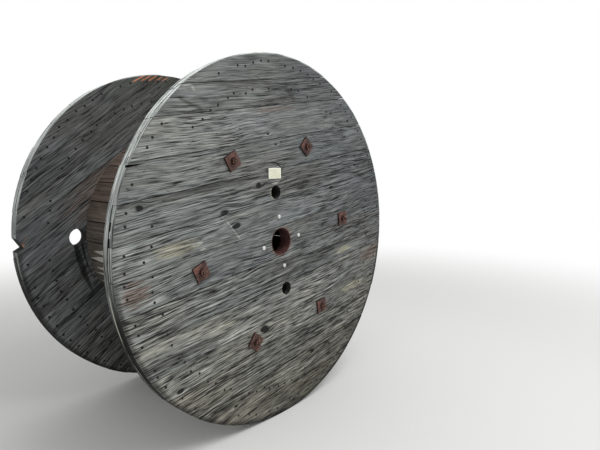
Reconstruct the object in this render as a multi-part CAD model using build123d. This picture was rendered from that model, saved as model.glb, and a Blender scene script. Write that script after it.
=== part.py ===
"""Wooden cable drum: two flanges of crossed boards, a barrel of staves and six tie rods.

The drum lies on its rims with its axis along Y. The near flange, at -Y, carries the label and
the far flange, at +Y, has the hole that the inner end of the cable leaves by.
The origin is on the floor, below the middle of the axis. All sizes are in millimetres.
"""
from build123d import *
import math
import os

# Whole drum
flange_radius = 900.0
outer_width = 975.0
board_thickness = 31.5
flange_turn = 8.0

# Boards of each layer: the angle of their grain and their widths from the top down
board_gap = 2.0
arris = 1.5
near_outer_angle = flange_turn
near_outer_widths = [123, 119, 156, 145, 148, 133, 150, 148, 150, 115, 153, 130, 130]
near_inner_angle = near_outer_angle + 90
near_inner_widths = [150, 135, 135, 135, 135, 135, 150, 135, 135, 135, 135, 135, 150]
far_inner_angle = 35.0
far_inner_widths = [138, 119, 85, 96, 107, 105, 105, 107, 118, 85, 85, 110, 115, 125, 140, 160]
far_outer_angle = far_inner_angle + 90
far_outer_widths = [125, 135, 140, 145, 140, 140, 150, 140, 140, 145, 140, 135, 125]
rim_wear = 1.2

# Barrel
barrel_radius = 550.0
stave_count = 32
stave_thickness = 28.0
stave_gap = 0.6
stave_seam_angle = 2.2
core_ring_thickness = 32.0
core_ring_width = 97.0
core_seat_clearance = 0.1

# Tie rods with their square plates and nuts
rod_count = 6
rod_radius = 10.0
rod_to_stave = 17.0
rod_hole_clearance = 1.5
rod_end = 8.0
rod_chamfer = 2.0
plate_side = 72.0
plate_thickness = 10.0
near_plate_turns = [7, 48, 30, 23, 53, 8]
far_plate_turns = [12, 40, 75, 20, 66, 31]
nut_across_flats = 30.0
nut_height = 16.0
nut_clearance = 0.2

# Centre bush: a tube that lines the bore, welded to a square plate on the flange's inner face
bore_radius = 65.5
bush_wall = 3.5
bush_clearance = 0.3
bush_plate_side = 228.0
bush_plate_thickness = 6.0

# Other holes
drive_pin_hole_radius = 33.0
drive_pin_circle_radius = 248.0
drive_pin_angle = flange_turn + 90
lead_hole_radius = 46.0
lead_hole_angle = 179.8
lead_groove_width = 52.0
lead_groove_end_angle = 204.0

# Damage: a broken notch in the far rim, a crack in a near board's end, and gaps where the edge
# of the near flange's outer layer has split away from the inner one
notch_top_angle = 177.4
notch_tip_angle = 181.4
notch_foot_angle = 182.7
notch_depth = 35.0
split_height = 491.5
split_length = 80.0
split_width = 10.8
split_depth = 22.0
rim_gap_angles = [146.5, 153.3, 169.7, 173.6]
rim_gap_length = 46.0
rim_gap_width = 8.0
rim_gap_depth = 11.0

# Sizes worked out from those above
flange_thickness = 2 * board_thickness
half_width = outer_width / 2
inner_face = half_width - flange_thickness
layer_joint = half_width - board_thickness
stave_pitch = 360 / stave_count
stave_inner_radius = barrel_radius - stave_thickness
core_ring_inner_radius = stave_inner_radius - core_ring_width
rod_circle_radius = stave_inner_radius - rod_to_stave
rod_hole_radius = rod_radius + rod_hole_clearance
bush_outer_radius = bore_radius + bush_wall
wood_bore_radius = bush_outer_radius + bush_clearance
lead_hole_circle_radius = barrel_radius + lead_hole_radius
rod_length = outer_width + 2 * (plate_thickness + nut_height + rod_end)
overcut = 5.0
reach = 2 * (flange_radius + overcut)


def face_plane(y, angle=0.0):
    """Plane across the axis at the given Y, turned by the angle, with its normal towards -Y."""
    turn = math.radians(angle)
    return Plane(
        origin=(0, y, flange_radius),
        x_dir=(math.cos(turn), 0, math.sin(turn)),
        z_dir=(0, -1, 0),
    )


def polar(radius, angle):
    """Point in a face plane at a radius and an angle in degrees."""
    return (radius * math.cos(math.radians(angle)), radius * math.sin(math.radians(angle)))


def rod_angles():
    """Angles of the tie rods round the axis."""
    return [flange_turn + 360 / rod_count * number for number in range(rod_count)]


def flange_holes(angle):
    """Holes that both flanges share, drawn in a plane whose grain lies at the angle."""
    holes = Circle(wood_bore_radius)
    for rod_angle in rod_angles():
        holes += Pos(*polar(rod_circle_radius, rod_angle - angle)) * Circle(rod_hole_radius)
    for side in (0, 180):
        place = polar(drive_pin_circle_radius, drive_pin_angle + side - angle)
        holes += Pos(*place) * Circle(drive_pin_hole_radius)
    return holes


def board_edges(widths):
    """Heights of a layer's board edges, where the boards beyond the barrel fill up the disc."""
    half = sum(widths) / 2
    spread = (flange_radius - barrel_radius) / (half - barrel_radius)
    edges = []
    for number in range(len(widths) + 1):
        height = half - sum(widths[:number])
        outside = max(abs(height) - barrel_radius, 0)
        edges.append(math.copysign(abs(height) - outside + outside * spread, height))
    return edges


def edge_bar(y, angle, height):
    """Square bar that takes the arris off a board's long edge on the face at the given Y."""
    side = arris * math.sqrt(2)
    return face_plane(y, angle) * Pos(0, height) * Rot(X=45) * Box(reach, side, side)


def layer_boards(y, angle, widths, open_face, cuts=None):
    """Boards of one layer, from the top down, between y and y - thickness.

    Their long edges are eased on the open face, the one that isn't against the other layer, and
    the ends of neighbours are worn back unevenly at the rim.
    """
    holes = flange_holes(angle)
    heights = board_edges(widths)
    heights[0] += overcut
    heights[-1] -= overcut
    boards = []
    for number, (top, bottom) in enumerate(zip(heights[:-1], heights[1:])):
        wear = rim_wear * ((2 * number) % 3) if number < len(widths) - 1 else 0
        upper = top - board_gap / 2
        lower = bottom + board_gap / 2
        strip = Pos(0, (upper + lower) / 2) * Rectangle(reach, upper - lower)
        outline = (Circle(flange_radius - wear) & strip) - holes
        board = extrude(face_plane(y, angle) * outline, board_thickness)
        for height in (upper, lower):
            board -= edge_bar(open_face, angle, height)
        if cuts is not None:
            board -= cuts
        boards.append(board)
    return boards


def rim_notch():
    """Broken notch in the far flange's rim, through both layers, long above and steep below."""
    outline = make_face(
        Polyline(
            polar(flange_radius + overcut, notch_top_angle),
            polar(flange_radius - notch_depth, notch_tip_angle),
            polar(flange_radius + overcut, notch_foot_angle),
            close=True,
        )
    )
    return extrude(face_plane(half_width + overcut) * outline, flange_thickness + 2 * overcut)


def lead_out():
    """Hole beside the barrel and the groove that rises to it from the barrel's surface."""
    start = polar(lead_hole_circle_radius, lead_hole_angle)
    end = polar(lead_hole_circle_radius, lead_groove_end_angle)
    hole = extrude(
        face_plane(half_width + overcut) * Pos(*start) * Circle(lead_hole_radius),
        flange_thickness + 2 * overcut,
    )
    path = CenterArc(
        (0, 0), lead_hole_circle_radius, lead_hole_angle, lead_groove_end_angle - lead_hole_angle
    )
    slot = extrude(
        face_plane(layer_joint) * SlotArc(path, lead_groove_width), board_thickness + overcut
    )
    foot = end[1] - lead_groove_width / 2
    slope = math.degrees(math.atan2(board_thickness, start[1] - foot))
    ramp = Pos(0, inner_face, flange_radius + foot) * Rot(X=-slope) * Box(
        reach, reach, reach, align=(Align.CENTER, Align.MAX, Align.CENTER)
    )
    return hole, slot & ramp


def end_split():
    """Crack in the end of a near board, just below its upper seam."""
    rim = -math.sqrt(flange_radius**2 - split_height**2)
    outline = make_face(
        Polyline(
            (rim - overcut, split_height + split_width / 2),
            (rim + split_length, split_height),
            (rim - overcut, split_height - split_width / 2),
            close=True,
        )
    )
    plane = face_plane(split_depth - half_width, near_outer_angle)
    return extrude(plane * outline, split_depth + overcut)


def rim_gap(angle):
    """Gap between the near flange's layers, where the outer board's edge has split away."""
    half = math.degrees(rim_gap_length / 2 / flange_radius)
    outline = make_face(
        Polyline(
            polar(flange_radius + overcut, angle - half),
            polar(flange_radius, angle - half),
            polar(flange_radius - rim_gap_depth, angle),
            polar(flange_radius, angle + half),
            polar(flange_radius + overcut, angle + half),
            close=True,
        )
    )
    return extrude(face_plane(overcut - layer_joint) * outline, rim_gap_width + overcut)


def barrel_staves():
    """Flat staves round the barrel, square ended between the flanges."""
    width = 2 * stave_inner_radius * math.tan(math.radians(stave_pitch / 2)) - stave_gap
    section = Pos(barrel_radius - stave_thickness / 2, 0) * Rectangle(stave_thickness, width)
    staves = []
    for number in range(stave_count):
        angle = stave_seam_angle + stave_pitch * (number + 0.5)
        stave = extrude(face_plane(inner_face, angle) * section, 2 * inner_face)
        staves.append(stave)
    return staves


def core_ring(y):
    """Ring of six segments that the stave ends lie on, open where the tie rods pass."""
    seat_radius = stave_inner_radius - core_seat_clearance
    outline = Rot(Z=stave_seam_angle) * RegularPolygon(seat_radius, stave_count, major_radius=False)
    sides = 2 * rod_count
    opening = RegularPolygon(core_ring_inner_radius, sides, major_radius=False)
    outline -= Rot(Z=flange_turn + 180 / sides) * opening
    for angle in rod_angles():
        space = Rectangle(reach, 2 * rod_hole_radius, align=(Align.MIN, Align.CENTER))
        outline -= Rot(Z=angle) * space
    return extrude(face_plane(y) * outline, core_ring_thickness)


def tie_rod(angle):
    """Round rod through both flanges, with chamfered ends."""
    place = polar(rod_circle_radius, angle)
    rod = extrude(face_plane(rod_length / 2) * Pos(*place) * Circle(rod_radius), rod_length)
    return chamfer(rod.edges().filter_by(GeomType.CIRCLE), rod_chamfer)


def square_plate(y, angle, turn):
    """Square washer plate with a hole for its rod."""
    outline = Rectangle(plate_side, plate_side) - Circle(rod_hole_radius)
    place = Pos(*polar(rod_circle_radius, angle)) * Rot(Z=turn)
    return extrude(face_plane(y) * place * outline, plate_thickness)


def nut(y, angle, turn):
    """Hexagon nut on a tie rod."""
    outline = RegularPolygon(nut_across_flats / 2, 6, major_radius=False) - Circle(rod_radius + nut_clearance)
    place = Pos(*polar(rod_circle_radius, angle)) * Rot(Z=turn)
    return extrude(face_plane(y) * place * outline, nut_height)


def centre_bush(side):
    """Tube that lines one flange's bore, with its square plate; side is -1 near and 1 far."""
    outer = side * half_width
    inner = side * inner_face
    plate_face = side * (inner_face - bush_plate_thickness)
    tube_plane = face_plane(max(outer, plate_face))
    tube = extrude(
        tube_plane * (Circle(bush_outer_radius) - Circle(bore_radius)),
        flange_thickness + bush_plate_thickness,
    )
    outline = Rectangle(bush_plate_side, bush_plate_side) - Circle(bore_radius)
    plate = extrude(
        face_plane(max(inner, plate_face), flange_turn + 45) * outline, bush_plate_thickness
    )
    return tube + plate


def write(shape, name):
    """Writes one node."""
    export_step(shape, f"parts/{name}.step")


def write_group(shapes, name):
    """Writes like pieces that share a node."""
    write(Compound(children=list(shapes)), name)


os.makedirs("parts", exist_ok=True)

near_damage = end_split()
for angle in rim_gap_angles:
    near_damage += rim_gap(angle)
near_boards = layer_boards(
    -layer_joint, near_outer_angle, near_outer_widths, -half_width, near_damage
)
for number, board in enumerate(near_boards, start=1):
    write(board, f"near_outer_board_{number:02d}")
near_cross_boards = layer_boards(-inner_face, near_inner_angle, near_inner_widths, -inner_face)
write_group(near_cross_boards, "near_inner_boards")

lead_hole, lead_groove = lead_out()
far_cuts = rim_notch() + lead_hole
far_boards = layer_boards(
    layer_joint, far_inner_angle, far_inner_widths, inner_face, far_cuts + lead_groove
)
for number, board in enumerate(far_boards, start=1):
    write(board, f"far_inner_board_{number:02d}")
far_cross_boards = layer_boards(
    half_width, far_outer_angle, far_outer_widths, half_width, far_cuts
)
write_group(far_cross_boards, "far_outer_boards")

write_group(barrel_staves(), "barrel_staves")
write(core_ring(inner_face), "core_ring_far")
write(core_ring(core_ring_thickness - inner_face), "core_ring_near")
write(centre_bush(-1), "centre_bush_near")
write(centre_bush(1), "centre_bush_far")

far_plates = []
far_nuts = []
for number, angle in enumerate(rod_angles(), start=1):
    near_turn = near_plate_turns[(number - 1) % len(near_plate_turns)]
    far_turn = far_plate_turns[(number - 1) % len(far_plate_turns)]
    write(tie_rod(angle), f"tie_rod_{number}")
    write(square_plate(-half_width, angle, near_turn), f"near_plate_{number}")
    write(nut(-half_width - plate_thickness, angle, 2 * near_turn), f"near_nut_{number}")
    far_plates.append(square_plate(half_width + plate_thickness, angle, far_turn))
    far_nuts.append(nut(half_width + plate_thickness + nut_height, angle, 2 * far_turn))
write_group(far_plates, "far_plates")
write_group(far_nuts, "far_nuts")
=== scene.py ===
import math
import random

import bpy
from mathutils import Matrix, Vector


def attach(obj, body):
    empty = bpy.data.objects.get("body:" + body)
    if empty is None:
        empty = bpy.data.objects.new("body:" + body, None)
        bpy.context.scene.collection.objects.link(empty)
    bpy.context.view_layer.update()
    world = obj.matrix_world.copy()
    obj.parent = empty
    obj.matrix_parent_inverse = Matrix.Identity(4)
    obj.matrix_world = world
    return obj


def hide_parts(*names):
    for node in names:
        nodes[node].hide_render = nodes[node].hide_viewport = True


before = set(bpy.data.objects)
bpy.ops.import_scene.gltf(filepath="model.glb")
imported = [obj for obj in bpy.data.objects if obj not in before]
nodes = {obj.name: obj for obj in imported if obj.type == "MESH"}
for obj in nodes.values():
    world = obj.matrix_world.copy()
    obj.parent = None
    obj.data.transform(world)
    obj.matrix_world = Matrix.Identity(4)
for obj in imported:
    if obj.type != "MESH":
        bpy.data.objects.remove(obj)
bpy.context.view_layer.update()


# The near flange's outer boards: thirteen sawn softwood boards laid side by side, about 31 mm
# thick, planed flat once and since weathered to silver grey. Sun and rain bleach their left ends,
# damp browns the lowest ones, and the grain stands proud with fine checks, knots and stains.
rim_radius = 0.9
outer_face = 0.4875
layer_joint = 0.456


class Wire:
    """One socket of a finish. Sums written with it add Math nodes."""

    def __init__(self, finish, socket):
        self.finish = finish
        self.socket = socket

    def sum(self, operation, first, second=0.0):
        return self.finish.node("ShaderNodeMath", {"operation": operation}, {0: first, 1: second})

    def __add__(self, other):
        return self.sum("ADD", self, other)

    def __radd__(self, other):
        return self.sum("ADD", other, self)

    def __sub__(self, other):
        return self.sum("SUBTRACT", self, other)

    def __rsub__(self, other):
        return self.sum("SUBTRACT", other, self)

    def __mul__(self, other):
        return self.sum("MULTIPLY", self, other)

    def __rmul__(self, other):
        return self.sum("MULTIPLY", other, self)

    def __abs__(self):
        return self.sum("ABSOLUTE", self)

    def rise(self, low, high):
        """0 below low, 1 above high and a smooth step between."""
        return self.finish.node(
            "ShaderNodeMapRange",
            {"interpolation_type": "SMOOTHSTEP"},
            {"Value": self, "From Min": low, "From Max": high},
        )


class Finish:
    """A material built up like paint: a colour, then marks over it, then its relief."""

    def __init__(self, name, roughness=0.9, metallic=0.0):
        self.material = bpy.data.materials.new(name)
        self.material.use_nodes = True
        self.tree = self.material.node_tree
        self.shader = self.tree.nodes["Principled BSDF"]
        self.shader.inputs["Roughness"].default_value = roughness
        self.shader.inputs["Metallic"].default_value = metallic
        self.shader.inputs["Specular IOR Level"].default_value = 0.25
        self.place = self.node("ShaderNodeTexCoord", {}, {}, "Object")

    def node(self, kind, settings, inputs, output=0):
        """Adds one node: its settings first, then the values or wires of its sockets."""
        made = self.tree.nodes.new(kind)
        for key, value in settings.items():
            if key == "stops":
                ramp = made.color_ramp
                while len(ramp.elements) < len(value):
                    ramp.elements.new(1.0)
                for element, (position, colour) in zip(ramp.elements, value):
                    element.position = position
                    element.color = (*colour, 1.0)
            elif key == "stepped":
                made.color_ramp.interpolation = "CONSTANT"
            else:
                setattr(made, key, value)
        for key, value in inputs.items():
            if isinstance(value, Wire):
                self.tree.links.new(value.socket, made.inputs[key])
            else:
                made.inputs[key].default_value = value
        return Wire(self, made.outputs[output])

    def turned(self, angle):
        """Object coordinates about the drum's axis: along the grain, through, across."""
        return self.node(
            "ShaderNodeMapping",
            {"vector_type": "TEXTURE"},
            {
                "Vector": self.place,
                "Location": (0, 0, rim_radius),
                "Rotation": (0, -math.radians(angle), 0),
            },
        )

    def split(self, vector):
        """The three numbers of a vector."""
        parts = self.node("ShaderNodeSeparateXYZ", {}, {0: vector})
        outputs = parts.socket.node.outputs
        return [Wire(self, outputs[number]) for number in range(3)]

    def join(self, x, y, z):
        """A vector from three numbers."""
        return self.node("ShaderNodeCombineXYZ", {}, {0: x, 1: y, 2: z})

    def length(self, x, y):
        """Length of a flat vector."""
        return self.node(
            "ShaderNodeVectorMath", {"operation": "LENGTH"}, {0: self.join(x, y, 0.0)}, "Value"
        )

    def noise(self, vector, scale, detail=3.0, roughness=0.55):
        """Soft noise round 0.5."""
        inputs = {"Vector": vector, "Scale": scale, "Detail": detail, "Roughness": roughness}
        return self.node("ShaderNodeTexNoise", {}, inputs, "Fac")

    def ramp(self, share, stops, stepped=False):
        """Colours along a share that runs from 0 to 1."""
        settings = {"stops": stops}
        if stepped:
            settings["stepped"] = True
        return self.node("ShaderNodeValToRGB", settings, {"Fac": share}, "Color")

    def mix(self, factor, first, second, blend="MIX"):
        """One colour laid over another."""
        return self.node(
            "ShaderNodeMix",
            {"data_type": "RGBA", "blend_type": blend},
            {"Factor": factor, 6: first, 7: second},
            2,
        )

    def scale(self, colour, value):
        """A colour made lighter or darker."""
        return self.node(
            "ShaderNodeVectorMath", {"operation": "SCALE"}, {0: colour, "Scale": value}
        )

    def done(self, colour, height=None, depth=0.001, roughness=None):
        """Joins the colour and the relief to the shader."""
        self.tree.links.new(colour.socket, self.shader.inputs["Base Color"])
        if height is not None:
            relief = self.node("ShaderNodeBump", {}, {"Height": height, "Distance": depth})
            self.tree.links.new(relief.socket, self.shader.inputs["Normal"])
        if roughness is not None:
            self.tree.links.new(roughness.socket, self.shader.inputs["Roughness"])
        return self.material


def tint(red, green, blue):
    """A colour as it is seen, 0 to 255, as the light that it stands for."""
    shares = [value / 255 for value in (red, green, blue)]
    return tuple(s / 12.92 if s < 0.04045 else ((s + 0.055) / 1.055) ** 2.4 for s in shares)


# The boards' colours: bleached and slate are weathered greys, damp is a brown stain near the
# ground, and shaded is a darker grey that paints in shade. It darkens the far flange's inner boards
# and the faces between the flanges, and is the dark end of the cross boards' and core rings' tones.
bleached = (124, 127, 125)
slate = (92, 94, 95)
shaded = (76, 77, 74)
damp = (90, 86, 74)
mark_tones = {
    "bare": (176, 176, 168),
    "pale": (148, 145, 128),
    "stain": (60, 60, 58),
    "rust": (112, 94, 84),
    "paint": (198, 132, 96),
    "shadow": (30, 32, 30),
}


def between(first, second, share):
    """A colour part of the way from one to another."""
    return [a + (b - a) * share for a, b in zip(first, second)]


def weathered_stops(left, right, height, chance):
    """Stops along a board, from its left end to its right, browner the nearer it is to the ground.

    Each board also differs from its neighbours by chance, as boards from different logs do.
    """
    stained = 0.7 * max(0.0, -height / rim_radius)
    own = chance.uniform(0.9, 1.1)
    stops = []
    for share in (0.0, 0.5, 1.0):
        grey = between(left, right, share + chance.uniform(-0.15, 0.15))
        colour = between(grey, damp, stained)
        stops.append((share, tint(*[value * own for value in colour])))
    return stops


def coarseness(height):
    """Lower boards have taken up more water, so their grain stands out more."""
    return 0.9 - 0.35 * height / rim_radius


# The rim's colours by height are painted light and shade: near black at the foot, where it is in
# shade, and pale at the top, where it is both bleached and lit from the sky.
rim_foot_shade = (50, 50, 45)
rim_side = (144, 149, 147)
rim_top_bleach_and_light = (214, 220, 217)
rim_stops = [(0.0, tint(*rim_foot_shade)), (0.35, tint(*rim_foot_shade)), (0.5, tint(*rim_side)),
             (0.85, tint(*rim_top_bleach_and_light))]


def weathered_wood(name, angle, colours, seed, reach=None, marks=(), strokes=(), knots=(),
                   rings=(), board=None, coarse=1.0, depth=0.0018):
    """Grey weathered boards with their grain at the angle.

    The colours are stops along the grain over the given reach, or steps across it where there is
    no reach.
    """
    finish = Finish(name)
    along, through, across = finish.split(finish.turned(angle))
    radius = finish.length(along, across)
    weather = finish.noise(finish.join(along * 1.3 + seed, through, across * 4.5), 2.4, 4.0)
    sway = finish.noise(finish.join(along * 1.5 + seed, through * 2.0, across * 3.0), 1.0, 2.0)
    grain = across + (sway - 0.5) * 0.06
    knot_dark = 0.0
    for at, height, size in knots:
        out = finish.length((along - at) * (0.6 / size), (across - height) * (1.0 / size))
        grain = grain - (across - height) * (1.0 - out.rise(0.2, 3.0)) * 0.85
        knot_dark = (1.0 - out.rise(0.5, 1.15)) + knot_dark
    growth = finish.noise(
        finish.join(along * 2.0, through * 25.0 + seed, grain * 82.0), 1.0, 4.0, 0.62)
    fleck = finish.noise(
        finish.join(along * 20.0 + seed, through * 60.0, grain * 125.0), 1.0, 3.0, 0.6)
    fibre = finish.noise(finish.join(along * 10.0, through * 160.0 + seed, grain * 230.0), 1.0, 2.0)
    split = finish.noise(finish.join(along * 1.9 + seed, through * 9.0, grain * 46.0), 1.0, 1.5)
    check = (1.0 - abs(split - 0.5).rise(0.0, 0.018)) * weather.rise(0.40, 0.56)
    pits = finish.noise(finish.join(along * 34.0, through * 40.0 + seed, across * 78.0), 1.0, 1.0)
    pit = pits.rise(0.66, 0.76)

    if reach is None:
        share = (across + rim_radius) * (0.5 / rim_radius)
        colour = finish.ramp(share, colours, stepped=True)
    else:
        share = (along + reach + (weather - 0.5) * 0.5) * (0.5 / reach)
        colour = finish.ramp(share, colours)
    cast = finish.ramp(
        finish.noise(finish.join(along * 1.1 + seed, through, across * 5.0 + seed), 1.6, 3.0),
        [(0.36, (1.03, 1.0, 0.955)), (0.5, (1.0, 1.0, 1.0)), (0.64, (0.975, 1.0, 1.015))],
    )
    colour = finish.mix(1.0, colour, cast, "MULTIPLY")
    ragged = (growth - 0.5) * 3.0 + (weather - 0.5) * 2.0
    for at, height, half, rise, shade, strength in marks:
        out = finish.length((along - at) * (1.0 / half), (across - height) * (1.0 / rise))
        patch = (1.0 - (out + ragged).rise(0.62, 1.12)) * strength
        colour = finish.mix(patch, colour, (*tint(*mark_tones[shade]), 1.0))
    for first, second, width, shade, strength in strokes:
        (u0, v0), (u1, v1) = first, second
        size = math.dist(first, second)
        du, dv = (u1 - u0) / size, (v1 - v0) / size
        on = (along - u0) * du + (across - v0) * dv
        off = abs((across - v0) * du - (along - u0) * dv) + (growth - 0.5) * width * 1.6
        line = (1.0 - off.rise(width * 0.1, width * 0.8)) * on.rise(0.0, 0.03)
        line = line * (1.0 - on.rise(size - 0.03, size))
        colour = finish.mix(line * strength, colour, (*tint(*mark_tones[shade]), 1.0))

    for at, height, size, width, lean, shade, strength in rings:
        to_side, to_height = along - at, across - height
        line = 1.0 - abs(finish.length(to_side, to_height) - size).rise(width * 0.4, width)
        if lean is not None:
            bearing, least, most = lean
            towards = (to_side * math.cos(bearing) + to_height * math.sin(bearing)) * (1.0 / size)
            line = line * towards.rise(least, most)
        colour = finish.mix(line * strength, colour, (*tint(*mark_tones[shade]), 1.0))

    texture = (growth - 0.5) * 2.7 + (fleck - 0.5) * (4.0 * coarse - 2.4) + (fibre - 0.5) * 6.0
    texture = (texture + growth.rise(0.60, 0.72) * 0.2) * coarse
    light = 0.99 + texture * (0.65 + 0.7 * sway.rise(0.3, 0.7)) + (weather - 0.5) * 1.2
    light = light - check * 0.5 - pit * 0.42
    if knots:
        light = light - knot_dark * 1.05
    if board is not None:
        low, high = board
        edge = across.rise(high - 0.006, high - 0.0015)
        edge = edge + (1.0 - across.rise(low + 0.0015, low + 0.006))
        light = light - edge * weather.rise(0.35, 0.6) * 0.25
    to_side, _, to_top = finish.split(finish.place)
    facing = finish.split(finish.node("ShaderNodeTexCoord", {}, {}, "Normal"))
    # Side faces, such as the walls of holes and of the gaps between boards, get painted shade.
    sideways = 1.0 - abs(facing[1]).rise(0.35, 0.6)
    outward = (facing[0] * to_side + facing[2] * (to_top - rim_radius)) * (1.0 / rim_radius)
    rim = outward.rise(0.5, 0.8) * radius.rise(rim_radius - 0.0034, rim_radius - 0.0024)
    front = abs(through).rise(layer_joint - 0.001, layer_joint + 0.001)
    rim = rim * (1.0 - 0.6 * abs(through).rise(outer_face - 0.010, outer_face - 0.003))
    # The face's outer edge on the upper and right side takes the rim's colour, painted light and
    # shade included.
    arris = radius.rise(rim_radius - 0.0065, rim_radius - 0.0025) * to_side.rise(-0.45, -0.15)
    height = to_top * (0.5 / rim_radius)
    low_edge = radius.rise(rim_radius - 0.028, rim_radius - 0.008) * (1.0 - height.rise(0.40, 0.56))
    # The inner layer's outward faces, seen only through the gaps between the outer boards, get
    # painted shade.
    sunk_face_shade = (facing[1] * through * (1.0 / layer_joint)).rise(0.5, 0.8)
    sunk_face_shade = sunk_face_shade * (1.0 - abs(through).rise(outer_face - 0.006, outer_face - 0.003))
    light = light * (1.0 - sideways * 0.82) * (1.0 - low_edge * 0.62) * (1.0 - sunk_face_shade * 0.85)
    colour = finish.scale(colour, light.sum("MAXIMUM", light, 0.08))

    bearing = finish.node("ShaderNodeMath", {"operation": "ARCTAN2"}, {0: across, 1: along})
    streak = finish.noise(
        finish.join(bearing * 4.5 + seed, through * 120.0, radius * 40.0), 1.0, 4.0, 0.7)
    beside = abs(abs(through) - layer_joint)
    # Rim brightness: end-grain streaks and weathering, a dark line at the layer joint low down, a
    # painted highlight beside the joint near the top, and the outer layer darker low down.
    rim_light = 0.92 + (streak - 0.5) * 6.5 + (weather - 0.5) * 1.0
    joint_line = (1.0 - beside.rise(0.001, 0.004)) * (1.0 - height.rise(0.58, 0.68))
    rim_light = rim_light - joint_line * 0.7
    rim_light = rim_light + (1.0 - beside.rise(0.004, 0.016)) * height.rise(0.70, 0.90) * 0.25
    rim_light = rim_light - (1.0 - streak.rise(0.36, 0.41)) * 0.45
    rim_light = rim_light * (1.0 - 0.75 * front * (1.0 - height.rise(0.38, 0.50)))
    # Painted shade over the low rim, deeper on the far flange.
    rim_shade_below = (1.0 - height.rise(0.34, 0.48)) * (0.3 + 0.35 * through.rise(-0.1, 0.1))
    rim_light = rim_light * (1.0 - rim_shade_below)
    rim_light = rim_light.sum("MAXIMUM", rim_light, 0.12)
    rim_colour = finish.scale(finish.ramp(height, rim_stops), rim_light)
    bare_line = 1.0 - abs(through + (layer_joint - 0.012)).rise(0.0016, 0.0036)
    bare_line = bare_line * streak.rise(0.43, 0.49)
    bare_line = bare_line * (1.0 - height.rise(0.45, 0.56)) * height.rise(0.14, 0.25)
    rim_colour = finish.mix(bare_line * 0.9, rim_colour, (*tint(204, 203, 190), 1.0))
    colour = finish.mix(rim.sum("MAXIMUM", rim, arris * 0.6), colour, rim_colour)
    relief = growth * 0.8 + fleck * 0.5 + fibre * 0.3 - check * 0.5 - pit * 0.2
    return finish.done(colour, relief, depth)


def board_heights(node, angle):
    """Lowest and highest point of a board across its grain."""
    turn = math.radians(angle)
    heights = [
        (vertex.co.z - rim_radius) * math.cos(turn) - vertex.co.x * math.sin(turn)
        for vertex in nodes[node].data.vertices
    ]
    return min(heights), max(heights)


def dress(node, material):
    """Gives a piece of the frame its finish."""
    slots = nodes[node].material_slots
    if slots:
        for slot in slots:
            slot.material = material
    else:
        nodes[node].data.materials.append(material)


# Single features by board number, each read from the photograph, in metres from the axis, along the
# grain and across it. Marks and strokes give a place, a size, a tone and a strength; knots a place
# and a size; rings a place, a radius, a width, the side they show on, a tone and a strength.
near_angle = 8.0
near_marks = {
    3: [(0.03, 0.640, 0.14, 0.012, "rust", 0.4)],
    5: [(-0.515, 0.341, 0.34, 0.018, "stain", 0.5)],
    6: [(-0.62, 0.125, 0.11, 0.030, "pale", 0.75), (-0.497, 0.122, 0.024, 0.008, "bare", 0.7),
        (-0.478, 0.094, 0.018, 0.006, "bare", 0.7)],
    7: [(-0.825, -0.005, 0.075, 0.055, "rust", 0.6)],
    8: [(0.515, -0.182, 0.11, 0.022, "pale", 0.8), (0.05, -0.15, 0.33, 0.05, "stain", 0.5)],
    9: [(-0.57, -0.325, 0.26, 0.020, "stain", 0.7), (0.77, -0.275, 0.11, 0.04, "rust", 0.5)],
    10: [(0.515, -0.425, 0.11, 0.026, "pale", 0.7)],
}
near_strokes = {
    2: [((-0.50, 0.73), (-0.36, 0.66), 0.016, "stain", 0.7),
        ((0.13, 0.75), (0.21, 0.665), 0.024, "stain", 0.7),
        ((-0.475, 0.769), (-0.40, 0.772), 0.006, "bare", 0.8),
        ((-0.423, 0.770), (-0.394, 0.743), 0.012, "bare", 0.95)],
    6: [((-0.337, 0.197), (-0.255, 0.070), 0.005, "bare", 0.7)],
    9: [((-0.464, -0.276), (-0.340, -0.290), 0.006, "pale", 0.7)],
}
near_knots = {
    3: [(0.63, 0.535, 0.007), (-0.009, 0.53, 0.007)],
    4: [(0.035, 0.475, 0.006)],
    5: [(-0.334, 0.222, 0.017), (-0.74, 0.33, 0.012), (0.665, 0.275, 0.007),
        (-0.110, 0.304, 0.012)],
    6: [(-0.275, 0.148, 0.018), (0.429, 0.195, 0.007)],
    10: [(-0.182, -0.395, 0.020), (-0.70, -0.47, 0.012)],
    12: [(-0.424, -0.696, 0.010), (0.148, -0.664, 0.010)],
}
near_rings = {
    4: [(0.005, 0.338, 0.052, 0.006, (0.9, 0.4, 0.9), "shadow", 0.9)],
    5: [(0.005, 0.338, 0.052, 0.006, (0.9, 0.4, 0.9), "shadow", 0.9),
        (0.005, 0.338, 0.046, 0.006, (-math.pi / 2, 0.80, 0.95), "bare", 0.7),
        (0.0, 0.248, 0.035, 0.004, (math.pi, 0.3, 0.85), "pale", 0.7)],
    7: [(0.0, 0.0, 0.074, 0.008, (0.0, 0.3, 0.85), "rust", 0.5),
        (0.0, 0.0, 0.073, 0.005, (4.1, 0.5, 0.9), "rust", 0.7)],
    9: [(0.0, -0.248, 0.035, 0.004, (math.pi, 0.3, 0.85), "pale", 0.6)],
}
near_board_count = 13
near_chance = random.Random(8)
for number in range(1, near_board_count + 1):
    node = f"near_outer_board_{number:02d}"
    low, high = board_heights(node, near_angle)
    middle = (low + high) / 2
    dress(node, weathered_wood(
        f"near_board_{number:02d}", near_angle,
        weathered_stops(bleached, slate, middle, near_chance), 1.7 * number,
        reach=math.sqrt(rim_radius**2 - middle**2),
        marks=near_marks.get(number, ()),
        strokes=near_strokes.get(number, ()),
        knots=near_knots.get(number, ()),
        rings=near_rings.get(number, ()),
        board=(low, high),
        coarse=coarseness(middle),
    ))


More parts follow.
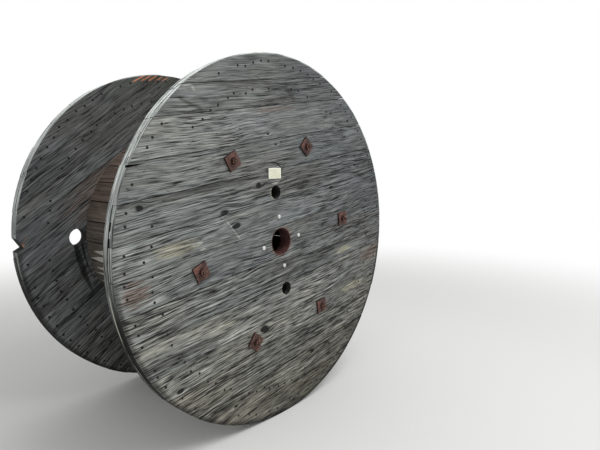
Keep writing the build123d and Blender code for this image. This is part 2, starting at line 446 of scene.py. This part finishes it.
# The near flange's inner boards, laid across the outer ones and clench-nailed to them. Only their
# ends and edges show at the rim; their faces towards the barrel are darker with painted shade.

def layer_steps(widths, chance):
    """One tone for each board of a layer, from the lowest board up."""
    edge = 0.0
    stops = []
    for width in reversed(widths):
        stops.append((edge, tint(*between(bleached, shaded, chance.uniform(0.3, 1.0)))))
        edge += width / 2000 / rim_radius
    return stops


near_inner_widths = [150, 135, 135, 135, 135, 135, 150, 135, 135, 135, 135, 135, 150]
dress("near_inner_boards", weathered_wood(
    "near_cross_boards", near_angle + 90, layer_steps(near_inner_widths, random.Random(98)), 31.0))


# The far flange's inner boards, sixteen narrower sawn ones laid at a slant and clench-nailed to the
# layer behind. They stand in the near flange's shade, painted into their colours as a darker grey,
# and they are browner low down.
far_angle = 35.0
far_marks = {
    4: [(-0.05, 0.50, 0.40, 0.06, "rust", 0.5)],
    5: [(-0.12, 0.42, 0.28, 0.05, "rust", 0.5)],
    # Board 8's second mark is painted shadow, where the barrel shades the far boards low on the
    # left.
    8: [(-0.74, 0.042, 0.17, 0.012, "stain", 0.8), (-0.585, 0.02, 0.09, 0.06, "shadow", 0.7)],
}
# Painted shade in the cable groove beside the barrel.
far_rings = {}
for groove_board in (5, 6, 7, 8):
    far_rings[groove_board] = [(0.0, 0.0, 0.598, 0.026, (2.74, 0.965, 0.985), "shadow", 0.85)]
far_strokes = {
    1: [((0.28, 0.822), (0.40, 0.812), 0.009, "paint", 0.9),
        ((0.33, 0.800), (0.43, 0.792), 0.008, "paint", 0.9),
        ((0.37, 0.778), (0.46, 0.772), 0.008, "paint", 0.9)],
    2: [((0.41, 0.757), (0.49, 0.750), 0.008, "paint", 0.8),
        ((0.45, 0.734), (0.52, 0.728), 0.007, "paint", 0.6)],
    4: [((-0.735, 0.478), (-0.700, 0.508), 0.009, "paint", 0.8),
        ((-0.710, 0.505), (-0.660, 0.525), 0.010, "rust", 0.8)],
}
far_board_count = 16
far_chance = random.Random(35)
for number in range(1, far_board_count + 1):
    node = f"far_inner_board_{number:02d}"
    low, high = board_heights(node, far_angle)
    middle = (low + high) / 2
    dress(node, weathered_wood(
        f"far_board_{number:02d}", far_angle,
        weathered_stops(slate, shaded, middle, far_chance), 50.0 + 2.3 * number,
        reach=math.sqrt(rim_radius**2 - middle**2),
        marks=far_marks.get(number, ()),
        strokes=far_strokes.get(number, ()),
        rings=far_rings.get(number, ()),
        board=(low, high),
        coarse=coarseness(middle),
    ))


# The far flange's outer boards, laid across its inner ones. They face away and are finished as the
# near face is, in plain silver greys.
far_outer_widths = [125, 135, 140, 145, 140, 140, 150, 140, 140, 145, 140, 135, 125]
dress("far_outer_boards", weathered_wood(
    "far_cross_boards", far_angle + 90, layer_steps(far_outer_widths, random.Random(125)), 97.0))


# The core rings, six sawn segments nailed inside each flange for the staves to lie on. They are
# hidden and stay plain sawn wood.
for node in ("core_ring_near", "core_ring_far"):
    dress(node, weathered_wood(
        node + "_wood", near_angle, [(0.0, tint(*damp)), (1.0, tint(*shaded))], 120.0, reach=0.6))


# The barrel: thirty-two flat staves, nailed to the core rings. Their grain runs along the axis. The
# outsides are stained red brown on the upper left and grey brown lower down.
stave_count = 32
stave_seam = 2.2
barrel_radius = 0.55
# The pale wedges on the lower left staves are painted sunlight.
sunlit_wedge_tint = (184, 181, 171)
sunlit_stave_wedges = ((187.5, 0.10, 0.41), (191.8, 0.13, 0.424), (197.4, 0.11, 0.405),
                (201.0, 0.09, 0.42), (206.3, 0.12, 0.41), (210.6, 0.09, 0.39))
stave_upper = (100, 85, 77)
stave_lower = (78, 79, 74)
stave_chance = random.Random(32)
stave_colours = []
for stave in range(stave_count):
    bearing = math.radians(stave_seam + 360 / stave_count * stave)
    own = stave_chance.uniform(0.93, 1.07)
    colour = between(stave_lower, stave_upper, (1 + math.sin(bearing)) / 2)
    stave_colours.append([value * own for value in colour])


def stave_wood():
    """Stave wood: grain along the axis, a tone for each stave round the barrel."""
    finish = Finish("stave_wood")
    x, y, z = finish.split(finish.turned(stave_seam))
    angle = finish.node("ShaderNodeMath", {"operation": "ARCTAN2"}, {0: z, 1: x})
    share = angle * (0.5 / math.pi) + 0.5
    stops = []
    for number in range(stave_count):
        stave = (number + stave_count // 2) % stave_count
        stops.append((number / stave_count, tint(*stave_colours[stave])))
    colour = finish.ramp(share, stops, stepped=True)
    own = finish.node("ShaderNodeMath", {"operation": "FLOOR"}, {0: share * float(stave_count)})
    offset = own * 7.3
    weather = finish.noise(finish.join(x * 2.0 + offset, y, z * 2.0), 3.0, 4.0)
    arc = share * (math.tau * barrel_radius)
    sway = (weather - 0.5) * 0.03
    fibre = finish.noise(finish.join(y * 14.0, (arc + sway) * 330.0, offset), 1.0, 2.0)
    growth = finish.noise(finish.join(y * 2.2 + offset, (arc + sway) * 70.0, 0.0), 1.0, 5.0, 0.62)
    light = 1.0 + (fibre - 0.5) * 1.6 + (growth - 0.5) * 3.0 + (weather - 0.5) * 1.8
    colour = finish.scale(colour, light.sum("MAXIMUM", light, 0.12))
    # Painted sunlight in pale wedges on the lower left staves.
    for bearing, width, tip in sunlit_stave_wedges:
        off = abs(share - ((bearing - stave_seam) / 360 - 0.5)) * (math.tau * barrel_radius)
        sun_patch = ((tip - y) * width - off + (growth - 0.5) * 0.02).rise(0.0, 0.004)
        sun_patch = sun_patch * y.rise(0.06, 0.20)
        colour = finish.mix(sun_patch * 0.9, colour, (*tint(*sunlit_wedge_tint), 1.0))
    return finish.done(colour, fibre * 0.4 + growth, 0.0016)


dress("barrel_staves", stave_wood())


# The centre bushes: a steel tube in each bore, welded to a square plate inside, all rusted red
# brown.

def rusty_steel(name, dark, mid, bright, spread=1.0, shaded_sides=False):
    """Rust in three shades, pitted and a little smoother where dark. With shaded_sides the sides
    get painted shade, near black.
    """
    finish = Finish(name)
    broad = finish.noise(finish.place, 22.0 * spread, 4.0, 0.6)
    fine = finish.noise(finish.place, 160.0 * spread, 3.0, 0.6)
    pits = finish.noise(finish.place, 420.0 * spread, 2.0, 0.5)
    share = broad * 0.8 + fine * 0.9 - 0.35
    colour = finish.ramp(share, [(0.3, tint(*dark)), (0.5, tint(*mid)), (0.72, tint(*bright))])
    if shaded_sides:
        normal = finish.node("ShaderNodeTexCoord", {}, {}, "Normal")
        colour = finish.scale(colour, 0.22 + 0.78 * abs(finish.split(normal)[1]).rise(0.3, 0.8))
    return finish.done(colour, fine + pits * 0.7, 0.0008, roughness=0.5 + share * 0.4)


bush_rust = rusty_steel("bush_rust", (38, 28, 30), (74, 50, 48), (104, 68, 64))
for node in ("centre_bush_near", "centre_bush_far"):
    dress(node, bush_rust)


# Four bolts hold each bush plate to its flange: bright domed heads on the flange's outer face, and
# hexagon nuts on the plate inside the barrel. Their heads are the only steel that hasn't rusted.
bolt_circle = 0.126
bolt_head_radius = 0.0095
bolt_head_height = 0.0085
bush_nut_flats = 0.022
bush_nut_height = 0.010
bush_plate_face = 0.4185


def start_from(name):
    """Names the piece that was just made, and its mesh."""
    piece = bpy.context.object
    piece.name = name
    piece.data.name = name
    return piece


def pick_faces(piece, test):
    """Selects the faces whose normal and centre pass the test, in edit mode."""
    bpy.ops.object.mode_set(mode="OBJECT")
    for face in piece.data.polygons:
        face.select = test(face.normal, face.center)
    for edge in piece.data.edges:
        edge.select = False
    for vertex in piece.data.vertices:
        vertex.select = False
    bpy.ops.object.mode_set(mode="EDIT")
    bpy.ops.mesh.select_mode(type="FACE")


def domed_head(name, radius, height, sides):
    """Round head on the near side of a face: its foot at y = 0 and its crown towards -Y."""
    bpy.ops.object.select_all(action="DESELECT")
    bpy.ops.mesh.primitive_cylinder_add(
        vertices=sides, radius=radius, depth=height, location=(0, -height / 2, 0),
        rotation=(math.pi / 2, 0, 0))
    piece = start_from(name)
    bpy.ops.object.transform_apply(location=True, rotation=True, scale=True)
    bpy.ops.object.mode_set(mode="EDIT")
    pick_faces(piece, lambda normal, centre: normal.y < -0.9)
    bpy.ops.mesh.inset(thickness=radius * 0.4)
    bpy.ops.transform.translate(value=(0, -height * 0.28, 0))
    bpy.ops.mesh.inset(thickness=radius * 0.35)
    bpy.ops.transform.translate(value=(0, -height * 0.12, 0))
    bpy.ops.object.mode_set(mode="OBJECT")
    return piece


def drill_hole(piece, radius, depth, sides):
    """Cuts a round hole along Y through a piece and leaves the piece active."""
    bpy.ops.mesh.primitive_cylinder_add(
        vertices=sides, radius=radius, depth=depth, rotation=(math.pi / 2, 0, 0))
    drill = bpy.context.object
    cut = piece.modifiers.new("hole", "BOOLEAN")
    cut.object = drill
    cut.solver = "EXACT"
    bpy.ops.object.select_all(action="DESELECT")
    piece.select_set(True)
    bpy.context.view_layer.objects.active = piece
    bpy.ops.object.modifier_apply(modifier="hole")
    bpy.data.objects.remove(drill)


def wear_edges(piece, width, segments, least_angle=None):
    """Rounds the sharp edges of the active piece."""
    edge = piece.modifiers.new("wear", "BEVEL")
    edge.width = width
    edge.segments = segments
    edge.limit_method = "ANGLE"
    if least_angle is not None:
        edge.angle_limit = math.radians(least_angle)
    bpy.ops.object.modifier_apply(modifier="wear")


def hexagon_nut(name, flats, height, bore):
    """Hexagon nut with its corners taken off, its foot at y = 0 and its face towards -Y."""
    bpy.ops.object.select_all(action="DESELECT")
    bpy.ops.mesh.primitive_cylinder_add(
        vertices=6, radius=flats / math.sqrt(3), depth=height, location=(0, -height / 2, 0),
        rotation=(math.pi / 2, 0, 0))
    piece = start_from(name)
    bpy.ops.object.transform_apply(location=True, rotation=True, scale=True)
    bpy.ops.object.mode_set(mode="EDIT")
    pick_faces(piece, lambda normal, centre: normal.y < -0.9)
    bpy.ops.mesh.bevel(affect="VERTICES", offset=flats * 0.16, segments=2)
    bpy.ops.object.mode_set(mode="OBJECT")
    drill_hole(piece, bore, height * 4, 20)
    wear_edges(piece, flats * 0.035, 2)
    return piece


def set_down(model, name, u, v, y, turn=0.0, far=False):
    """Copies a modelled piece to a place on a flange face, u and v from the axis."""
    bpy.ops.object.select_all(action="DESELECT")
    model.select_set(True)
    bpy.context.view_layer.objects.active = model
    bpy.ops.object.duplicate()
    piece = start_from(name)
    tilt = Matrix.Rotation(-turn, 4, "Y")
    if far:
        tilt = tilt @ Matrix.Rotation(math.pi, 4, "Z")
    piece.matrix_world = Matrix.Translation((u, y, rim_radius + v)) @ tilt
    bpy.ops.object.transform_apply(location=True, rotation=True, scale=True)
    return piece


def gather(pieces, name):
    """Joins like pieces into one."""
    bpy.ops.object.select_all(action="DESELECT")
    for piece in pieces:
        piece.select_set(True)
    bpy.context.view_layer.objects.active = pieces[0]
    if len(pieces) > 1:
        bpy.ops.object.join()
    piece = start_from(name)
    bpy.ops.object.shade_smooth_by_angle(angle=math.radians(35))
    return piece


def complete(piece, material, node=None):
    """Gives a new piece its finish, its body and its slot, and hides the node that it stands for.
    """
    piece.data.materials.clear()
    piece.data.materials.append(material)
    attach(piece, "root")
    if node is not None:
        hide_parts(node)


def on_face(u, v, angle):
    """A place in a layer's own frame, turned into the drum's."""
    turn = math.radians(angle)
    return u * math.cos(turn) - v * math.sin(turn), u * math.sin(turn) + v * math.cos(turn)


bright_steel = Finish("bright_steel", 0.35, 0.55)
spots = bright_steel.noise(bright_steel.place, 260.0, 3.0)
bright_steel.shader.inputs["Specular IOR Level"].default_value = 0.5
bright_steel.done(
    bright_steel.ramp(spots, [(0.35, tint(176, 176, 170)), (0.6, tint(232, 232, 228))]),
    spots, 0.0002, roughness=0.25 + spots * 0.3)
head_model = domed_head("bolt_head_model", bolt_head_radius, bolt_head_height * 0.7, 20)
nut_model = hexagon_nut("bush_nut_model", bush_nut_flats, bush_nut_height, 0.0055)
end_model = domed_head("bolt_end_model", 0.0054, bush_nut_height * 1.2, 16)
for side, far in (("near", False), ("far", True)):
    heads = []
    fixings = []
    for quarter in range(4):
        bearing = math.radians(near_angle + 90 * quarter)
        u, v = bolt_circle * math.cos(bearing), bolt_circle * math.sin(bearing)
        outside = outer_face if far else -outer_face
        heads.append(set_down(head_model, "head", u, v, outside, bearing, far))
        inside = bush_plate_face if far else -bush_plate_face
        fixings.append(set_down(nut_model, "nut", u, v, inside, 0.5 * quarter, not far))
        fixings.append(set_down(end_model, "end", u, v, inside, 0.0, not far))
    for pieces, name, finish in (
        (heads, f"{side}_bush_bolt_heads", bright_steel.material),
        (fixings, f"{side}_bush_bolt_nuts", bush_rust),
    ):
        complete(gather(pieces, name), finish)
for model in (head_model, nut_model, end_model):
    bpy.data.objects.remove(model)


# The tie rods: six round rods through both flanges, threaded at the ends, with rust all over.
rod_count = 6
rod_rust = rusty_steel("rod_rust", (42, 33, 31), (74, 56, 49), (110, 88, 76))
for number in range(1, rod_count + 1):
    dress(f"tie_rod_{number}", rod_rust)


# Square plates under the nuts: thick flat bar cut to squares, rusted dark. Their edges are hammered
# round by handling.
rod_circle = 0.505
rod_hole = 0.0115
plate_side = 0.072
plate_thickness = 0.010
plate_wear = 0.0016
near_plate_turns = [7, 48, 30, 23, 53, 8]
far_plate_turns = [12, 40, 75, 20, 66, 31]
# The plates' sides are near black, painted shade.
plate_rust = rusty_steel("plate_rust", (46, 37, 36), (82, 60, 55), (122, 86, 77), 0.9, shaded_sides=True)


def worn_plate():
    """Square plate with rounded corners and a rod hole, its foot at y = 0."""
    bpy.ops.object.select_all(action="DESELECT")
    bpy.ops.mesh.primitive_cube_add(size=1.0, location=(0, -plate_thickness / 2, 0))
    piece = start_from("plate_model")
    piece.scale = (plate_side, plate_thickness, plate_side)
    bpy.ops.object.transform_apply(location=True, rotation=True, scale=True)
    bpy.ops.object.mode_set(mode="EDIT")
    bpy.ops.mesh.select_all(action="SELECT")
    bpy.ops.mesh.subdivide(number_cuts=5)
    bpy.ops.object.mode_set(mode="OBJECT")
    draw = random.Random(11)
    for vertex in piece.data.vertices:
        if vertex.co.y < -plate_thickness * 0.9:
            vertex.co.y += draw.uniform(0.0, 0.0007)
            reach = max(abs(vertex.co.x), abs(vertex.co.z)) / plate_side * 2
            if reach > 0.99:
                vertex.co.x *= 1 - draw.uniform(0.0, 0.02)
                vertex.co.z *= 1 - draw.uniform(0.0, 0.02)
    drill_hole(piece, rod_hole, plate_thickness * 4, 24)
    wear_edges(piece, plate_wear, 3, least_angle=50)
    return piece


plate_model = worn_plate()
far_pieces = []
for number in range(1, rod_count + 1):
    bearing = near_angle + 360 / rod_count * (number - 1)
    u, v = on_face(rod_circle, 0.0, bearing)
    near_turn = math.radians(near_plate_turns[number - 1])
    far_turn = math.radians(far_plate_turns[number - 1])
    piece = set_down(plate_model, "plate", u, v, -outer_face, near_turn)
    piece = gather([piece], f"near_washer_plate_{number}")
    complete(piece, plate_rust, f"near_plate_{number}")
    far_pieces.append(set_down(plate_model, "plate", u, v, outer_face, far_turn, True))
complete(gather(far_pieces, "far_washer_plates"), plate_rust, "far_plates")
bpy.data.objects.remove(plate_model)


# Hexagon nuts on the rods, their corners worn round, rusted as the rods are but a little redder.
rod_nut_flats = 0.030
rod_nut_height = 0.016
# The nuts' sides are near black, painted shade, so their faces stand out lighter.
nut_rust = rusty_steel("nut_rust", (52, 36, 34), (112, 76, 68), (168, 126, 114), 1.4, shaded_sides=True)
nut_model = hexagon_nut("rod_nut_model", rod_nut_flats, rod_nut_height, 0.0102)
far_pieces = []
for number in range(1, rod_count + 1):
    bearing = near_angle + 360 / rod_count * (number - 1)
    u, v = on_face(rod_circle, 0.0, bearing)
    seat = outer_face + plate_thickness
    near_turn = math.radians(2 * near_plate_turns[number - 1])
    far_turn = math.radians(2 * far_plate_turns[number - 1])
    piece = set_down(nut_model, "nut", u, v, -seat, near_turn)
    piece = gather([piece], f"near_rod_nut_{number}")
    complete(piece, nut_rust, f"near_nut_{number}")
    far_pieces.append(set_down(nut_model, "nut", u, v, seat, far_turn, True))
complete(gather(far_pieces, "far_rod_nuts"), nut_rust, "far_nuts")
bpy.data.objects.remove(nut_model)


# Nails: two rings of them through each flange, driven from outside and clenched on the inner face,
# with small dark heads that have sunk flush or stand a little proud.
nail_rings = ((0.743, 86), (0.858, 100))
far_nail_rings = ((0.749, 78), (0.865, 90))
nail_head_height = 0.0012
nail_sides = 8
inner_face = 0.4245
seam_clearance = 0.005
gap_clearance = 0.05
crack_height = 0.4915
notch_bearing = math.radians(180.5)
crack_bearing = math.radians(180 - math.degrees(math.asin(crack_height / nail_rings[1][0])))
nail_rust = rusty_steel("nail_rust", (14, 13, 14), (24, 22, 22), (42, 36, 33), 2.0)
draw = random.Random(5)


def layer_seams(pattern, count, angle):
    """Heights of the seams of a layer whose boards are nodes of their own."""
    return [board_heights(pattern.format(number), angle)[0] - 0.001 for number in range(1, count)]


def nail_ring(name, size_across, face, angle, ring, count, far, seams, gaps, stray, lost_share):
    """One ring of nail heads, spun round the axis, each nudged, with none over a seam or a gap."""
    nail = domed_head(name, size_across / 2, nail_head_height, nail_sides)
    size = len(nail.data.vertices)
    start_u, start_v = on_face(ring, 0.0, angle)
    tilt = Matrix.Rotation(math.pi, 4, "Z") if far else Matrix.Identity(4)
    nail.matrix_world = Matrix.Translation((start_u, face, rim_radius + start_v)) @ tilt
    bpy.ops.object.transform_apply(location=True, rotation=True, scale=True)
    bpy.ops.object.mode_set(mode="EDIT")
    bpy.ops.mesh.select_all(action="SELECT")
    bpy.ops.mesh.spin(
        steps=count - 1, angle=math.tau * (count - 1) / count, dupli=True,
        center=(0, 0, rim_radius), axis=(0, 1, 0))
    bpy.ops.mesh.select_mode(type="VERT")
    bpy.ops.mesh.select_all(action="DESELECT")
    bpy.ops.object.mode_set(mode="OBJECT")
    vertices = nail.data.vertices
    turn = math.radians(angle)
    for first in range(0, len(vertices), size):
        group = vertices[first:first + size]
        nudge = Vector((draw.gauss(0.0, stray), 0.0, draw.gauss(0.0, stray)))
        for vertex in group:
            vertex.co += nudge
        middle = sum((vertex.co for vertex in group), Vector()) / size
        height = (middle.z - rim_radius) * math.cos(turn) - middle.x * math.sin(turn)
        bearing = math.atan2(middle.z - rim_radius, middle.x)
        lost = draw.random() < lost_share
        lost = lost or any(abs(height - seam) < seam_clearance for seam in seams)
        lost = lost or any(
            abs(math.remainder(bearing - gap, math.tau)) < gap_clearance for gap in gaps)
        for vertex in group:
            vertex.select = lost
    bpy.ops.object.mode_set(mode="EDIT")
    bpy.ops.mesh.delete(type="VERT")
    bpy.ops.object.mode_set(mode="OBJECT")
    return nail


near_seams = layer_seams("near_outer_board_{:02d}", near_board_count, near_angle)
far_seams = layer_seams("far_inner_board_{:02d}", far_board_count, far_angle)
near_cross_seams, far_cross_seams = (
    [rim_radius - sum(widths[:number]) / 1000 for number in range(1, len(widths))]
    for widths in (near_inner_widths, far_outer_widths)
)
crack = [crack_bearing + math.radians(near_angle)]
for name, across, face, angle, rings, far, seams, gaps, stray, lost_share in (
    ("near_nail_heads", 0.0115, -outer_face, near_angle, nail_rings, False,
     near_seams, crack, 0.007, 0.2),
    ("near_clenched_ends", 0.008, -inner_face, near_angle + 90, nail_rings, True,
     near_cross_seams, [], 0.005, 0.1),
    ("far_clenched_ends", 0.013, inner_face, far_angle, far_nail_rings, False,
     far_seams, [notch_bearing], 0.004, 0.05),
    ("far_nail_heads", 0.0095, outer_face, far_angle + 90, nail_rings, True,
     far_cross_seams, [notch_bearing], 0.007, 0.2),
):
    pieces = [
        nail_ring(name, across, face, angle, ring, count, far, seams, gaps, stray, lost_share)
        for ring, count in rings
    ]
    complete(gather(pieces, name), nail_rust)


# The label: a small thin metal plate, cream enamel gone dull, bare, nailed level above the upper
# drive-pin hole.
label_width = 0.084
label_height = 0.051
label_thickness = 0.0012
label_stand_off = 0.0002
label_curl = 0.0016
label_bulge = 0.0006
label_wear = 0.0004
label_u, label_v = on_face(0.005, 0.340, near_angle)
bpy.ops.object.select_all(action="DESELECT")
bpy.ops.mesh.primitive_cube_add(
    size=1.0,
    location=(label_u, -outer_face - label_thickness / 2 - label_stand_off, rim_radius + label_v))
label = start_from("label_plate")
label.scale = (label_width, label_thickness, label_height)
bpy.ops.object.transform_apply(location=True, rotation=True, scale=True)
bpy.ops.object.mode_set(mode="EDIT")
bpy.ops.mesh.select_all(action="SELECT")
bpy.ops.mesh.subdivide(number_cuts=6)
bpy.ops.object.mode_set(mode="OBJECT")
for vertex in label.data.vertices:
    across = (vertex.co.x - label_u) / label_width * 2
    up = (vertex.co.z - rim_radius - label_v) / label_height * 2
    curl = label_curl * abs(across) ** 4 * (0.4 + 0.6 * abs(up))
    vertex.co.y -= curl + label_bulge * (1 - up * up)
wear_edges(label, label_wear, 2)
bpy.ops.object.shade_smooth_by_angle(angle=math.radians(40))
enamel = Finish("cream_enamel", 0.55)
stain = enamel.noise(enamel.place, 60.0, 5.0, 0.6)
x, _, z = enamel.split(enamel.place)
border = abs(x - label_u).rise(label_width * 0.42, label_width * 0.48)
border_up = abs(z - (rim_radius + label_v)).rise(label_height * 0.40, label_height * 0.47)
border = border.sum("MAXIMUM", border, border_up)
cream = enamel.ramp(stain, [
    (0.35, tint(204, 203, 180)), (0.5, tint(216, 216, 196)), (0.7, tint(222, 222, 204))])
cream = enamel.mix(border * 0.8, cream, (*tint(242, 243, 230), 1.0))
enamel.done(cream, stain, 0.0003, roughness=0.45 + stain * 0.2)
complete(label, enamel.material)


# The room: a pale floor and a white backdrop, soft light from all round and from above in front,
# and the camera where the photograph was taken from.

def white_for_camera(tree):
    """A wire that is 1 for what the camera sees straight, mirrored or through glass."""
    path = tree.nodes.new("ShaderNodeLightPath")
    total = path.outputs["Is Camera Ray"]
    for kind in ("Is Glossy Ray", "Is Transmission Ray"):
        either = tree.nodes.new("ShaderNodeMath")
        either.operation = "MAXIMUM"
        tree.links.new(total, either.inputs[0])
        tree.links.new(path.outputs[kind], either.inputs[1])
        total = either.outputs[0]
    return total


bpy.ops.object.select_all(action="DESELECT")
bpy.ops.mesh.primitive_plane_add(size=60.0, location=(0, 0, 0))
floor = bpy.context.object
floor.name = "floor"
floor_paint = Finish("pale_floor", 0.9)
floor_paint.shader.inputs["Base Color"].default_value = (*tint(232, 232, 230), 1.0)
x, y, _ = floor_paint.split(floor_paint.place)
away = floor_paint.length(x, y).rise(2.2, 5.5)
glow = floor_paint.tree.nodes.new("ShaderNodeEmission")
glow.inputs["Color"].default_value = (1.0, 1.0, 1.0, 1.0)
seen = Wire(floor_paint, white_for_camera(floor_paint.tree))
fade = floor_paint.tree.nodes.new("ShaderNodeMixShader")
floor_paint.tree.links.new((seen * away).socket, fade.inputs[0])
floor_paint.tree.links.new(floor_paint.shader.outputs[0], fade.inputs[1])
floor_paint.tree.links.new(glow.outputs[0], fade.inputs[2])
floor_output = floor_paint.tree.nodes["Material Output"]
floor_paint.tree.links.new(fade.outputs[0], floor_output.inputs["Surface"])
floor.data.materials.append(floor_paint.material)

world = bpy.data.worlds.new("sky")
bpy.context.scene.world = world
world.use_nodes = True
sky = world.node_tree
background = sky.nodes["Background"]
background.inputs["Color"].default_value = (1.0, 1.0, 1.0, 1.0)
background.inputs["Strength"].default_value = 0.62
white = sky.nodes.new("ShaderNodeBackground")
white.inputs["Color"].default_value = (1.0, 1.0, 1.0, 1.0)
choice = sky.nodes.new("ShaderNodeMixShader")
sky.links.new(white_for_camera(sky), choice.inputs[0])
sky.links.new(background.outputs[0], choice.inputs[1])
sky.links.new(white.outputs[0], choice.inputs[2])
sky.links.new(choice.outputs[0], sky.nodes["World Output"].inputs["Surface"])

lamp = bpy.data.lights.new("overhead", "AREA")
lamp.size = 3.0
lamp.energy = 130.0
holder = bpy.data.objects.new("overhead", lamp)
bpy.context.scene.collection.objects.link(holder)
holder.location = (0.8, -3.0, 4.6)
to_drum = Vector((0, 0, rim_radius)) - holder.location
holder.rotation_euler = to_drum.to_track_quat("-Z", "Y").to_euler()

# The camera's place and angles come from fitting the circles of both flanges to the photograph.
photo_width = 600.0
focal_pixels = 507.69
swing, tilt, roll = -0.848929, -0.128338, -0.005902
camera = bpy.data.cameras.new("camera")
camera.sensor_width = 36.0
camera.lens = focal_pixels / photo_width * camera.sensor_width
viewer = bpy.data.objects.new("camera", camera)
bpy.context.scene.collection.objects.link(viewer)
viewer.location = (-1.8116, -2.2073, 1.3028)
forward = Vector((
    -math.sin(swing) * math.cos(tilt), math.cos(swing) * math.cos(tilt), math.sin(tilt)
))
level = Vector((math.cos(swing), math.sin(swing), 0.0))
upright = level.cross(forward)
right = level * math.cos(roll) + upright * math.sin(roll)
up = upright * math.cos(roll) - level * math.sin(roll)
viewer.rotation_euler = Matrix((right, up, -forward)).transposed().to_euler()
bpy.context.scene.camera = viewer
bpy.context.scene.view_settings.view_transform = "Standard"
